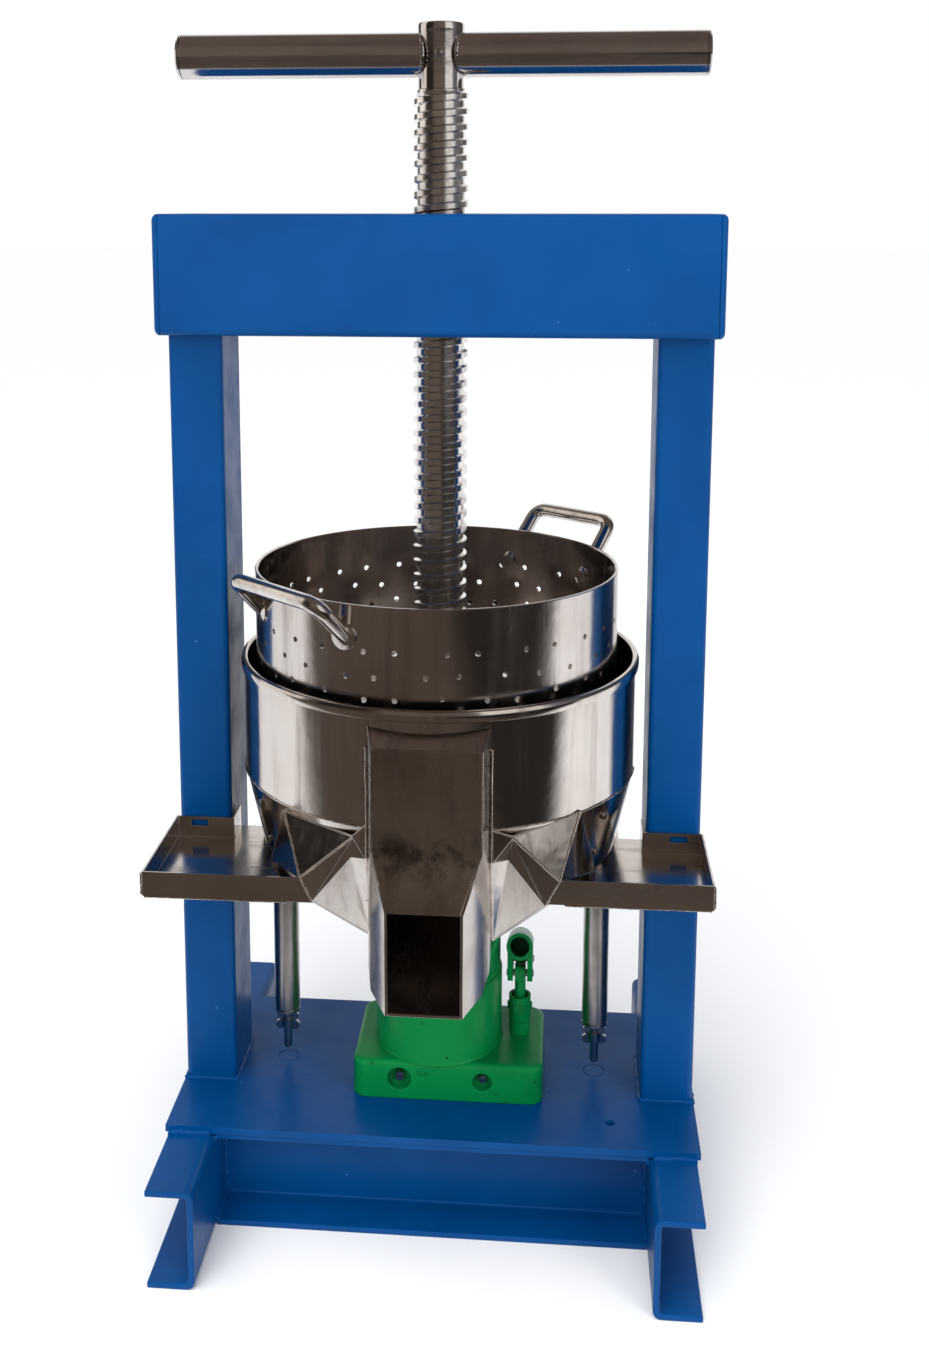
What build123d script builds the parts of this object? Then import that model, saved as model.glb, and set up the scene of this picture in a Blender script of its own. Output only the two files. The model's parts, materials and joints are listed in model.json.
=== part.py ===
"""Hydraulic juice press: welded channel frame, lead screw with T-bar, perforated basket,
collector vessel with chute and drip pans carried on a bottle jack.

Millimetres. X to the right, Y to the back, Z up. Z = 0 is the floor, and the lead screw and
the jack ram share one vertical axis; every solid is written with that axis DATUM_Y behind
the origin, which puts the origin under the middle of the footprint.
"""
import math
import os

from build123d import *

# ---- basket and press head: the 300 mm basket sets the size of everything ----
DATUM_Y = 10.0
BASKET_R = 150.0
BASKET_X = -3.0
BASKET_T = 2.0
BASKET_Z0, BASKET_Z1 = 345.0, 543.0
BASKET_FLOOR_T = 3.0
HOLE_R = 2.3
HOLE_ROWS, HOLES_PER_ROW, TOP_ROW_Z, ROW_STEP = 9, 30, 507.0, 17.0
HANDLE_ROD_R, HANDLE_BEND, HANDLE_PAD_R = 6.2, 13.0, 11.0
REAR_HANDLE = dict(angle=51.0, half_w=43.0, reach=182.0, top=557.0, foot=515.0)
FRONT_HANDLE = dict(angle=226.9, half_w=51.8, reach=167.4, top=547.0, foot=518.3)
PLATE_R, PLATE_Z0, PLATE_T = 137.0, 440.0, 12.0
BOSS_R, BOSS_H = 30.0, 28.0

# ---- lead screw and T-bar ----
SCREW_R, SCREW_ROOT_R, PITCH, CREST = 22.0, 19.3, 12.0, 5.0
THREAD_Z0, THREAD_Z1 = 490.0, 922.0
JOURNAL_R, JOURNAL_GAP = 15.0, 0.05
NECK_Z0, NECK_Z1, NECK_R = 926.0, 978.0, 18.0
BAR_R, BAR_WALL, BAR_HALF, BAR_Z = 17.5, 2.5, 210.0, 953.5
BAR_CAP_T = 3.0

# ---- welded frame ----
CHANNEL_H, CHANNEL_T, BEND_R = 83.0, 5.0, 7.0
FOOT_W, FOOT_X, FOOT_HALF = 38.0, 177.0, 182.0
CROSS_W, CROSS_Y = 43.0, 61.0
BASE_X, BASE_Y, BASE_T = 218.0, 105.0, 6.0
POST_X0, POST_X1, POST_Y, POST_WALL = 173.0, 217.0, 35.0, 4.0
BEAM_X, BEAM_Y, BEAM_Z0, BEAM_Z1, BEAM_WALL = 222.0, 58.0, 735.0, 830.0, 6.0
CAP_T = 5.0
NUT_R = 34.0
PLUG_R = 8.5
LEG_X, LEG_Y = 135.0, 6.0

# ---- bottle jack ----
JACK_X0, JACK_X1, JACK_Y, JACK_H = -70.0, 91.0, 51.0, 34.0
RESERVOIR_R, RESERVOIR_Z1, LEDGE_Z = 54.5, 238.0, 187.0
RAM_R, RAM_Z0, RAM_Z1 = 22.0, 150.0, 292.0
PUMP_X, PUMP_Y, PUMP_TOP = 70.0, 8.0, 157.0
PLUNGER_R = 4.5
LEVER_PIN_Z, LEVER_PIN_R, FULCRUM_Y, PIN_HALF = 177.0, 3.0, 34.0, 11.8
SOCKET_R, SOCKET_BORE_R, SOCKET_L, SOCKET_TILT = 11.25, 8.2, 52.0, 21.0
SOCKET_FRONT = (PUMP_X, -22.0, 216.0)
HOOP_R, HOOP_ROD_R, HOOP_Z = 61.0, 3.8, 250.0
VALVE_X, VALVE_BORE_R, PLUG_X, PLUG_BORE_R, VALVE_Z = -30.0, 10.0, 40.0, 8.0, 107.0
RUN = 0.05

# ---- collector: vessel, cone, pans, chute ----
VESSEL_R, SHEET = 163.0, 2.0
VESSEL_Z1, SEAM_Z = 470.0, 376.0
FLOOR_Z0, FLOOR_Z1, CONE_R = 310.0, 312.0, 149.0
PAN_X, PAN_H = 219.0, 20.0
PAN_FRONT_L, PAN_FRONT_R, PAN_BACK, PAN_TONGUE = -149.0, -136.0, -38.0, -12.0
CHUTE_X, CHUTE_HALF, PANEL_HALF, MOUTH_HALF = 4.0, 46.0, 41.5, 28.5
CHUTE_BEND_Y, MOUTH_Y = -158.0, -202.0
PANEL_Y, PANEL_Z0, PANEL_Z1, HOOD_Z = -180.0, 366.0, 446.0, 458.0
MOUTH_Z0, MOUTH_Z1 = 250.0, 330.0
KNEE_Y, KNEE_Z, TROUGH_Y = -128.0, 275.0, -60.0
BAR_PLATFORM_Z0 = 300.0
LEG_R, LEG_WALL, LEG_Z0 = 11.0, 2.0, 137.0

BASE_TOP = CHANNEL_H + BASE_T
JACK_TOP = BASE_TOP + JACK_H


def block(x0, x1, y0, y1, z0, z1):
    centre = Pos((x0 + x1) / 2, (y0 + y1) / 2, (z0 + z1) / 2)
    return centre * Box(x1 - x0, y1 - y0, z1 - z0)


def disc(r, z0, z1, x=0.0, y=0.0):
    return Pos(x, y, (z0 + z1) / 2) * Cylinder(r, z1 - z0)


def rod(a, b, r):
    a, b = Vector(*a), Vector(*b)
    axis = b - a
    return Plane(origin=a + axis * 0.5, z_dir=axis) * Cylinder(r, axis.length)


def ring(r_out, r_in, z0, z1, x=0.0, y=0.0):
    return disc(r_out, z0, z1, x, y) - disc(r_in, z0 - 1, z1 + 1, x, y)


def mirror_x(part):
    return mirror(part, about=Plane.YZ)


def mirror_y(part):
    return mirror(part, about=Plane.XZ)


def polar(radius, degrees, z=0.0):
    a = math.radians(degrees)
    return (radius * math.cos(a), radius * math.sin(a), z)


def side_prism(points, x0, x1):
    """Prism along X from a closed (y, z) outline."""
    wire = Wire.make_polygon([(x0, y, z) for y, z in points], close=True)
    return extrude(Face(wire), amount=x1 - x0, dir=(1, 0, 0))


def plan_prism(points, z0, z1):
    """Prism along Z from a closed (x, y) outline."""
    wire = Wire.make_polygon([(x, y, z0) for x, y in points], close=True)
    return extrude(Face(wire), amount=z1 - z0, dir=(0, 0, 1))


def front_prism(points, y0, y1):
    """Prism along Y from a closed (x, z) outline."""
    wire = Wire.make_polygon([(x, y0, z) for x, z in points], close=True)
    return extrude(Face(wire), amount=y1 - y0, dir=(0, 1, 0))


def folded_sheet(triangles, half_t):
    """Sheet metal made of flat triangles joined along rounded folds."""
    body = None
    edges = {}
    for tri in triangles:
        normal = (Vector(*tri[1]) - Vector(*tri[0])).cross(Vector(*tri[2]) - Vector(*tri[0]))
        normal = normal.normalized()
        start = [Vector(*p) - normal * half_t for p in tri]
        face = Face(Wire.make_polygon(start, close=True))
        plate = extrude(face, amount=2 * half_t, dir=normal)
        body = plate if body is None else body + plate
        for a, b in ((0, 1), (1, 2), (2, 0)):
            edges[tuple(sorted((tri[a], tri[b])))] = True
    fold_r = half_t * 1.2
    for a, b in edges:
        body = body + rod(a, b, fold_r)
    for p in {p for edge in edges for p in edge}:
        body = body + Pos(*p) * Sphere(fold_r)
    return body


def channel(length, width):
    """Bent C-section along Y: web at x = 0, flanges towards +X, lower face on z = 0."""
    outer = Pos(width / 2, CHANNEL_H / 2) * Rectangle(width, CHANNEL_H)
    outer = fillet(outer.vertices().sort_by(Axis.X)[:2], BEND_R)
    inner = Pos(CHANNEL_T + width / 2, CHANNEL_H / 2) * Rectangle(width, CHANNEL_H - 2 * CHANNEL_T)
    inner = fillet(inner.vertices().sort_by(Axis.X)[:2], BEND_R - CHANNEL_T)
    section = Plane(origin=(0, length / 2, 0), x_dir=(1, 0, 0), z_dir=(0, -1, 0)) * (outer - inner)
    return extrude(section, amount=length, dir=(0, -1, 0))


# ------------------------------------------------------------------ frame
def frame_parts():
    foot = Pos(FOOT_X, 0, 0) * channel(2 * FOOT_HALF, FOOT_W)
    cross = Rot(0, 0, -90) * channel(2 * FOOT_X, CROSS_W)
    front_cross = Pos(0, -CROSS_Y, 0) * cross
    plate = block(-BASE_X, BASE_X, -BASE_Y, BASE_Y, CHANNEL_H, BASE_TOP)
    for side in (-1, 1):
        plate -= ring(PLUG_R + 0.8, PLUG_R, BASE_TOP - 0.8, BASE_TOP + 1, side * LEG_X, LEG_Y)
    plate -= disc(4.0, CHANNEL_H - 1, BASE_TOP + 1, 147, -70)
    post_section = RectangleRounded(POST_X1 - POST_X0, 2 * POST_Y, 5)
    post_section -= RectangleRounded(POST_X1 - POST_X0 - 2 * POST_WALL, 2 * POST_Y - 2 * POST_WALL, 2)
    post = Pos((POST_X0 + POST_X1) / 2, 0, BASE_TOP) * extrude(post_section, BEAM_Z0 - BASE_TOP)
    tube_half = BEAM_X - CAP_T
    height = BEAM_Z1 - BEAM_Z0
    section = RectangleRounded(2 * BEAM_Y, height, 6)
    section -= RectangleRounded(2 * BEAM_Y - 2 * BEAM_WALL, height - 2 * BEAM_WALL, 2)
    place = Plane(origin=(-tube_half, 0, (BEAM_Z0 + BEAM_Z1) / 2), x_dir=(0, 1, 0), z_dir=(1, 0, 0))
    beam = extrude(place * section, amount=2 * tube_half, dir=(1, 0, 0))
    beam -= disc(NUT_R, BEAM_Z0 - 1, BEAM_Z1 + 1)
    cap_plane = Plane(origin=(tube_half, 0, (BEAM_Z0 + BEAM_Z1) / 2), x_dir=(0, 1, 0), z_dir=(1, 0, 0))
    cap = extrude(cap_plane * RectangleRounded(2 * BEAM_Y, height, 6), amount=CAP_T, dir=(1, 0, 0))
    cap = chamfer(cap.faces().sort_by(Axis.X)[-1].edges(), 2.5)
    nut = ring(NUT_R, SCREW_R + RUN, BEAM_Z0 + 1, BEAM_Z1 - 1)
    return {
        "foot_channel_right": foot,
        "foot_channel_left": mirror_x(foot),
        "cross_channel_front": front_cross,
        "cross_channel_rear": mirror_y(front_cross),
        "base_plate": plate,
        "post_right": post,
        "post_left": mirror_x(post),
        "beam_tube": beam,
        "beam_end_caps": [cap, mirror_x(cap)],
        "screw_nut": nut,
    }


# ------------------------------------------------------------------ lead screw and T-bar
def screw_parts():
    plate_top = PLATE_Z0 + PLATE_T
    boss_top = plate_top + BOSS_H
    shoulder = boss_top + 2 * RUN
    core = disc(SCREW_ROOT_R, shoulder, NECK_Z0)
    helix = Pos(0, 0, THREAD_Z0) * Helix(pitch=PITCH, height=THREAD_Z1 - THREAD_Z0, radius=SCREW_ROOT_R)
    depth = SCREW_R - SCREW_ROOT_R
    start = Plane(origin=helix @ 0, x_dir=(1, 0, 0), z_dir=(0, 1, 0))
    crest = start * Pos(depth / 2 - 0.25, 0) * Rectangle(depth + 0.5, CREST)
    ridge = sweep(crest, path=helix, is_frenet=True)
    screw = core + ridge
    journal = disc(JOURNAL_R, plate_top + 0.3, shoulder)
    screw += journal
    groove_z = plate_top + 18
    screw -= ring(JOURNAL_R + 1, JOURNAL_R - 2, groove_z - 4.5, groove_z + 4.5)

    neck = disc(NECK_R, NECK_Z0, NECK_Z1)
    neck = chamfer(neck.faces().sort_by(Axis.Z)[-1].edges(), 1.0)
    rivet = rod((0, -NECK_R - 1.2, BAR_Z), (0, NECK_R + 1.2, BAR_Z), 3.6)
    tube_end = BAR_HALF - BAR_CAP_T
    tube = rod((0, 0, BAR_Z), (tube_end, 0, BAR_Z), BAR_R)
    tube -= rod((0, 0, BAR_Z), (tube_end + 1, 0, BAR_Z), BAR_R - BAR_WALL)
    tube -= disc(NECK_R, NECK_Z0 - 20, NECK_Z1 + 20)
    cap = rod((tube_end, 0, BAR_Z), (BAR_HALF, 0, BAR_Z), BAR_R)
    cap = chamfer(cap.faces().sort_by(Axis.X)[-1].edges(), 1.0)
    return {
        "lead_screw": screw,
        "handle_neck": neck - rivet,
        "neck_rivet": rivet,
        "t_bar_right": tube,
        "t_bar_left": mirror_x(tube),
        "t_bar_end_caps": [cap, mirror_x(cap)],
    }


def press_head_parts():
    top = PLATE_Z0 + PLATE_T
    plate = disc(PLATE_R, PLATE_Z0, top)
    plate = chamfer(plate.edges(), 1.5)
    boss = ring(BOSS_R, JOURNAL_R + JOURNAL_GAP, top, top + BOSS_H)
    grubs = []
    for side in (-1, 1):
        grub = rod((side * (JOURNAL_R - 1.7), 0, top + 18), (side * (BOSS_R + 3), 0, top + 18), 4.0)
        boss -= grub
        grubs.append(grub)
    rib = side_prism([(BOSS_R, top), (112, top), (112, top + 5), (BOSS_R, top + BOSS_H - 4)], -4, 4)
    rib -= disc(BOSS_R, top - 1, top + BOSS_H)
    ribs = [Rot(0, 0, 45 + 90 * i) * rib for i in range(4)]
    return {
        "press_plate": plate,
        "press_boss": boss,
        "press_ribs": ribs,
        "press_grub_screws": grubs,
    }


# ------------------------------------------------------------------ basket
def jitter(i, j, size):
    return size * math.sin(12.9 * i + 78.2 * j + 0.7 * i * j)


def basket_handle(angle, half_w, reach, top, foot):
    """A bent rod on two riveted pads, and the rivet heads inside the basket wall."""
    def local(out, along, z):
        a = math.radians(angle)
        return (out * math.cos(a) - along * math.sin(a), out * math.sin(a) + along * math.cos(a), z)

    foot_out = math.sqrt(BASKET_R ** 2 - half_w ** 2)
    inner = [local(foot_out - 4, side * half_w, foot) for side in (-1, 1)]
    outer = [local(reach, side * half_w, top) for side in (-1, 1)]
    path = FilletPolyline(inner[0], outer[0], outer[1], inner[1], radius=HANDLE_BEND)
    handle = sweep(Plane(origin=path @ 0, z_dir=path % 0) * Circle(HANDLE_ROD_R), path=path)
    handle = handle - disc(BASKET_R + 1.5, BASKET_Z0, BASKET_Z1 + 20)
    shell_band = ring(BASKET_R + 3.5, BASKET_R, BASKET_Z0, BASKET_Z1)
    inner_band = ring(BASKET_R - BASKET_T, BASKET_R - BASKET_T - 3, BASKET_Z0, BASKET_Z1)
    heads = []
    for side in (-1, 1):
        swing = angle + side * math.degrees(math.asin(half_w / BASKET_R))
        near, far = polar(BASKET_R - 20, swing, foot), polar(BASKET_R + 20, swing, foot)
        handle = handle + (shell_band & rod(near, far, HANDLE_PAD_R))
        heads.append(inner_band & rod(near, far, HANDLE_PAD_R / 2))
    return handle, heads


def basket_parts():
    shell = ring(BASKET_R, BASKET_R - BASKET_T, BASKET_Z0, BASKET_Z1)
    drills = []
    for i in range(HOLE_ROWS):
        z = TOP_ROW_Z - i * ROW_STEP
        for j in range(HOLES_PER_ROW):
            a = 360.0 / HOLES_PER_ROW * (j + 0.5 * (i % 2)) + jitter(i, j, 1.6)
            zj = z + jitter(j, i, 2.2)
            drills.append(rod(polar(BASKET_R - 6, a, zj), polar(BASKET_R + 4, a, zj), HOLE_R))
    shell = shell - drills
    floor = disc(BASKET_R - BASKET_T, BASKET_Z0, BASKET_Z0 + BASKET_FLOOR_T)
    drills = []
    for radius, count in ((22, 6), (50, 14), (78, 22), (106, 30), (132, 36)):
        for j in range(count):
            x, y, _ = polar(radius, 360.0 / count * j)
            drills.append(disc(3.0, BASKET_Z0 - 1, BASKET_Z0 + 5, x, y))
    floor = floor - drills

    rear, rear_rivets = basket_handle(**REAR_HANDLE)
    front, front_rivets = basket_handle(**FRONT_HANDLE)
    place = Pos(BASKET_X, 0, 0)
    return {
        "basket_shell": place * shell,
        "basket_floor": place * floor,
        "basket_handle_rear": place * rear,
        "basket_handle_front": place * front,
        "basket_handle_rivets": [place * h for h in rear_rivets + front_rivets],
    }


# ------------------------------------------------------------------ collector
def chute_plan(inset):
    """Outline of the chute from above, narrowing slowly to the panel and quickly to the mouth."""
    half, panel, mouth = CHUTE_HALF - inset, PANEL_HALF - inset, MOUTH_HALF - inset
    left = [(CHUTE_X - half, TROUGH_Y), (CHUTE_X - half, CHUTE_BEND_Y), (CHUTE_X - panel, PANEL_Y),
            (CHUTE_X - mouth, MOUTH_Y)]
    return left + [(2 * CHUTE_X - x, y) for x, y in reversed(left)]


def vessel_envelope():
    """Solid inside the vessel's outer surface, from its floor to above its rim."""
    cone = Pos(0, 0, (FLOOR_Z1 + SEAM_Z) / 2) * Cone(CONE_R, VESSEL_R, SEAM_Z - FLOOR_Z1)
    return cone + disc(VESSEL_R, SEAM_Z, VESSEL_Z1 + 20) + disc(CONE_R, FLOOR_Z0, FLOOR_Z1)


def sheet_strip(points, thickness):
    """Open (y, z) polyline thickened to one side, as a prism along X."""
    inner = [(y + thickness[0], z + thickness[1]) for y, z in points]
    return side_prism(points + inner[::-1], CHUTE_X - 70, CHUTE_X + 70)


def collector_parts():
    envelope = vessel_envelope()
    outline = [(TROUGH_Y, FLOOR_Z0), (KNEE_Y, KNEE_Z), (MOUTH_Y, MOUTH_Z0), (MOUTH_Y, MOUTH_Z1),
               (PANEL_Y, PANEL_Z0), (PANEL_Y, PANEL_Z1), (CHUTE_BEND_Y + 4, HOOD_Z),
               (TROUGH_Y, HOOD_Z)]
    hollow = plan_prism(chute_plan(SHEET), MOUTH_Z0 - 5, HOOD_Z + 5)
    solid = plan_prism(chute_plan(0), MOUTH_Z0 - 5, HOOD_Z + 5)
    profile = side_prism(outline, CHUTE_X - 70, CHUTE_X + 70)
    walls = (solid & profile) - hollow - envelope
    side_left = walls & block(-120, CHUTE_X, -300, 100, 200, 500)
    side_right = walls & block(CHUTE_X, 120, -300, 100, 200, 500)
    inside = hollow & profile
    front = (inside & sheet_strip([(PANEL_Y, PANEL_Z1), (PANEL_Y, PANEL_Z0), (MOUTH_Y, MOUTH_Z1)],
                                  (SHEET, 0.0))) - envelope
    hood = (inside & sheet_strip([(PANEL_Y + SHEET, PANEL_Z1 - 1.3), (CHUTE_BEND_Y + 4, HOOD_Z)],
                                 (0.0, -SHEET))) - envelope
    trough = inside & sheet_strip([(MOUTH_Y, MOUTH_Z0), (KNEE_Y, KNEE_Z), (TROUGH_Y, FLOOR_Z0)],
                                  (0.0, SHEET))
    trough = trough & block(-200, 200, -300, 100, 200, FLOOR_Z0)

    drain = plan_prism([(CHUTE_X - CHUTE_HALF + SHEET, TROUGH_Y), (CHUTE_X - CHUTE_HALF + SHEET, -300),
                        (CHUTE_X + CHUTE_HALF - SHEET, -300), (CHUTE_X + CHUTE_HALF - SHEET, TROUGH_Y)],
                       FLOOR_Z0 - 1, 440)
    shell = ring(VESSEL_R, VESSEL_R - SHEET, SEAM_Z, VESSEL_Z1) - drain
    cone_height = SEAM_Z - FLOOR_Z1
    cone = Pos(0, 0, (FLOOR_Z1 + SEAM_Z) / 2) * (Cone(CONE_R, VESSEL_R, cone_height)
                                                 - Cone(CONE_R - SHEET, VESSEL_R - SHEET, cone_height))
    cone = cone - drain
    rim = ring(VESSEL_R + 2.2, VESSEL_R, VESSEL_Z1 - 8, VESSEL_Z1)
    rim = fillet(rim.edges().group_by(Axis.Z)[-1].sort_by(SortBy.RADIUS)[-1], 1.0)
    floor = disc(CONE_R, FLOOR_Z0, FLOOR_Z1) - drain
    rack = block(-138, 138, -4, 4, FLOOR_Z1, BASKET_Z0) + block(-4, 4, -58, 138, FLOOR_Z1, BASKET_Z0)
    rack = rack + ring(140, 132, BASKET_Z0 - 10, BASKET_Z0)

    wings = {}
    side_x = {-1: CHUTE_X - CHUTE_HALF, 1: CHUTE_X + CHUTE_HALF}
    corner = {-1: ((-111.0, -121.0, 371.0), (-53.0, -156.0, 368.0), (-95.0, -149.5, 331.0),
                   (-86.0, -150.0, 313.0), (-55.0, -155.0, 352.0)),
              1: ((117.0, -115.0, 377.0), (66.0, -151.0, 370.0), (102.0, -139.0, 331.0),
                  (91.0, -142.0, 313.0), (63.0, -151.0, 353.0))}
    for side, name in ((-1, "left"), (1, "right")):
        a, b, c, c_low, b_low = corner[side]
        g = (side * 130.0, -80.0, FLOOR_Z1 + 1.5)
        knee = (side_x[side] + side * 1.4, KNEE_Y, KNEE_Z + 1)
        root = (side_x[side] + side * 1.4, CHUTE_BEND_Y + 1, 352.0)
        under = (side_x[side] + side * 1.4, TROUGH_Y, FLOOR_Z0 - 1.5)
        back = (side * 118.0, -94.0, FLOOR_Z0 - 1.5)
        top = (side_x[side] + side * 1.4, CHUTE_BEND_Y + 1, SEAM_Z + 1)
        triangles = [(a, b, c), (b, c, c_low), (b, c_low, b_low), (b_low, c_low, knee),
                     (b_low, knee, root), (b, b_low, root), (b, root, top), (a, c, g),
                     (c_low, knee, back), (knee, under, back)]
        wings[side] = folded_sheet(triangles, SHEET / 2)

    pans = {}
    for side, front_y in ((-1, PAN_FRONT_L), (1, PAN_FRONT_R)):
        x_end = {-1: 84.0, 1: 92.0}[side]
        top_end = x_end + 10
        z0, z1 = FLOOR_Z0, FLOOR_Z0 + PAN_H
        tongue_x = POST_X0 - 1.5
        base = plan_prism([(PAN_X, front_y), (x_end, front_y), (60, -100), (100, PAN_TONGUE),
                           (tongue_x, PAN_TONGUE), (tongue_x, PAN_BACK), (PAN_X, PAN_BACK)], z0, FLOOR_Z1)
        base -= disc(CONE_R, z0 - 1, z1)
        wall = front_prism([(PAN_X, z0), (x_end, z0), (top_end, z1), (PAN_X, z1)], front_y, front_y + SHEET)
        wall += block(PAN_X - SHEET, PAN_X, front_y, PAN_BACK, z0, z1)
        wall += block(tongue_x - SHEET, PAN_X, PAN_BACK - SHEET, PAN_BACK, z0, z1)
        wall += block(tongue_x - SHEET, tongue_x, PAN_BACK - SHEET, PAN_TONGUE, z0, z1)
        wall -= block(192, 206, PAN_BACK - 5, PAN_BACK + 5, z1 - 8, z1 - 3)
        pan = (base + wall) - disc(CONE_R + 9, FLOOR_Z1, z1 + 5)
        pans[side] = pan if side > 0 else mirror_x(pan)

    platform = block(-152, 152, -34, 46, BAR_PLATFORM_Z0, FLOOR_Z0)
    for side in (-1, 1):
        wing = wings[side] - envelope - solid - platform - pans[side]
        wing = wing.solids().sort_by(SortBy.VOLUME)[-1]
        wings[side] = wing

    tabs = []
    for a in (-32.0, -149.0):
        for z in (330.0, 362.0):
            r_here = CONE_R + (VESSEL_R - CONE_R) * (z - FLOOR_Z1) / cone_height
            stud = rod(polar(r_here - 1, a, z), polar(r_here + 2, a, z), 3.0)
            tabs.append(stud - envelope)

    leg = ring(LEG_R, LEG_R - LEG_WALL, LEG_Z0, BAR_PLATFORM_Z0, LEG_X, LEG_Y)
    plug = disc(LEG_R, LEG_Z0 - 3, LEG_Z0, LEG_X, LEG_Y)
    stud = disc(3.7, 98.0, LEG_Z0 - 3, LEG_X, LEG_Y)
    stud = chamfer(stud.faces().sort_by(Axis.Z)[0].edges(), 1.5)
    wing_nut = disc(5.2, 118, 126, LEG_X, LEG_Y)
    for x, z in ((-6.5, 119.5), (6.5, 119.5), (-5.5, 128.0), (5.5, 128.0)):
        wing_nut = wing_nut + rod((LEG_X + x, LEG_Y - 1.3, z), (LEG_X + x, LEG_Y + 1.3, z), 4.2)
    wing_nut -= disc(3.7, 100, 140, LEG_X, LEG_Y)
    return {
        "platform_bar": platform,
        "leg_tube_right": leg,
        "leg_tube_left": mirror_x(leg),
        "leg_pins": [plug + stud, mirror_x(plug + stud)],
        "leg_wing_nuts": [wing_nut, mirror_x(wing_nut)],
        "vessel_shell": shell,
        "vessel_rim": rim,
        "vessel_cone": cone,
        "vessel_floor": floor,
        "vessel_lap_rivets": tabs,
        "drain_rack": rack,
        "pan_left": pans[-1],
        "pan_right": pans[1],
        "funnel_wing_left": wings[-1],
        "funnel_wing_right": wings[1],
        "chute_side_left": side_left,
        "chute_side_right": side_right,
        "chute_front": front,
        "chute_hood": hood,
        "chute_floor": trough,
    }


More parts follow.
